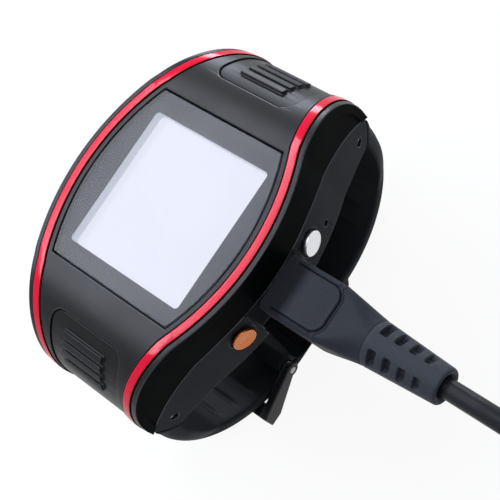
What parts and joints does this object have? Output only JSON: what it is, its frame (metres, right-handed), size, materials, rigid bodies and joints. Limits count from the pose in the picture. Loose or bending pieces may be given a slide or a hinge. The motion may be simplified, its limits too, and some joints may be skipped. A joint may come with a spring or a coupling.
{
  "type": "gps watch",
  "caption": "Wrist GPS watch with a bowed case, square display, red side trims, push buttons, port flap and buckled rubber strap, on its plugged-in charging lead.",
  "frame": {"origin": "middle of the flat underside of the fixed keeper, on the surface that the buckled watch stands on, below the centre of the display", "axes": "+Z out of the display, +Y towards 12 o'clock, +X towards the buttons and the charging port"},
  "size_m": [0.1919, 0.0702, 0.0536],
  "materials": {
    "bezel_plastic": "satin moulded black",
    "lens_glass": "clear hard lens",
    "lens_print": "dark grey printed border",
    "seal_rubber": "matt",
    "frame_white": "pale moulded",
    "display": "plain lit screen",
    "flex": "polyimide",
    "trim_red": "glossy red lacquer",
    "pad_rubber": "fine matt grain",
    "mid_plastic": "satin blue-grey black",
    "cover_plastic": "fine spark-eroded",
    "gasket_red": "silicone",
    "screw_steel": "machined",
    "button_silver": "spun face, bright edge",
    "button_copper": "spun copper-coloured face",
    "switch": "moulded",
    "port_steel": "formed sheet",
    "flap_rubber": "matt rubber",
    "board": "solder mask",
    "can_steel": "tinned sheet",
    "battery_foil": "laminate pouch",
    "antenna_ceramic": "ceramic",
    "inner_dark": "moulded",
    "contact_gold": "plated",
    "motor_steel": "drawn cup",
    "strap_rubber": "satin black",
    "pin_steel": "turned",
    "buckle_metal": "black coated",
    "plug_grip": "fine spark-eroded grain",
    "shell_steel": "formed sheet",
    "cord_jacket": "satin jacket",
    "tie_band": "hook and loop band",
    "insulator": "moulded"
  },
  "bodies": {
    "watch": {"front_bezel": "bezel_plastic", "lens": "lens_glass", "lens_mask": "lens_print", "lens_gasket": "seal_rubber", "display_frame": "frame_white", "display_module": "display", "display_flex": "flex", "trim_left": "trim_red", "trim_right": "trim_red", "end_pad_12": "pad_rubber", "end_pad_6": "pad_rubber", "mid_case": "mid_plastic", "back_cover": "cover_plastic", "back_gasket": "gasket_red", "back_screws": "screw_steel", "button_seals": "seal_rubber", "tact_switches": "switch", "usb_receptacle": "port_steel", "main_board": "board", "shield_can": "can_steel", "battery": "battery_foil", "gps_antenna": "antenna_ceramic", "radio_antenna": "inner_dark", "speaker": "inner_dark", "microphone": "contact_gold", "vibration_motor": "motor_steel", "strap_12": "strap_rubber", "strap_6": "strap_rubber", "spring_bars": "pin_steel", "buckle_frame": "buckle_metal", "buckle_bar": "pin_steel", "fixed_keeper": "strap_rubber"},
    "silver_button": {"silver_button": "button_silver"},
    "copper_button": {"copper_button": "button_copper"},
    "port_flap": {"port_flap": "flap_rubber"},
    "charging_lead": {"plug_body": "plug_grip", "plug_shell": "shell_steel", "strain_relief": "plug_grip", "cord": "cord_jacket", "cord_coil": "cord_jacket", "coil_tie": "tie_band", "far_plug_body": "plug_grip", "far_plug_shell": "shell_steel", "far_plug_insulator": "insulator"},
    "buckle_tongue": {"buckle_tongue": "buckle_metal"},
    "free_keeper": {"free_keeper": "strap_rubber"}
  },
  "joints": [
    {"name": "silver_press", "type": "slide", "parent": "watch", "child": "silver_button", "axis": [-0.9817, -0.1904, 0], "range_m": [0, 0.0006], "stiffness_N_per_m": 1500},
    {"name": "copper_press", "type": "slide", "parent": "watch", "child": "copper_button", "axis": [-0.9684, 0.2495, 0], "range_m": [0, 0.0006], "stiffness_N_per_m": 1500},
    {"name": "flap_hinge", "type": "hinge", "parent": "watch", "child": "port_flap", "pos_m": [0.02208, -0.0013, 0.0368], "axis": [0.1045, 0.9945, 0], "range_deg": [-38, 40]},
    {"name": "lead_pull", "type": "slide", "parent": "watch", "child": "charging_lead", "axis": [1, 0, 0], "range_m": [0, 0.02]},
    {"name": "tongue_hinge", "type": "hinge", "parent": "watch", "child": "buckle_tongue", "pos_m": [0, -0.011, 0.0061], "axis": [1, 0, 0], "range_deg": [0, 60]},
    {"name": "keeper_slide", "type": "slide", "parent": "watch", "child": "free_keeper", "axis": [0, 1, 0], "range_m": [-0.0012, 0.0025]}
  ]
}
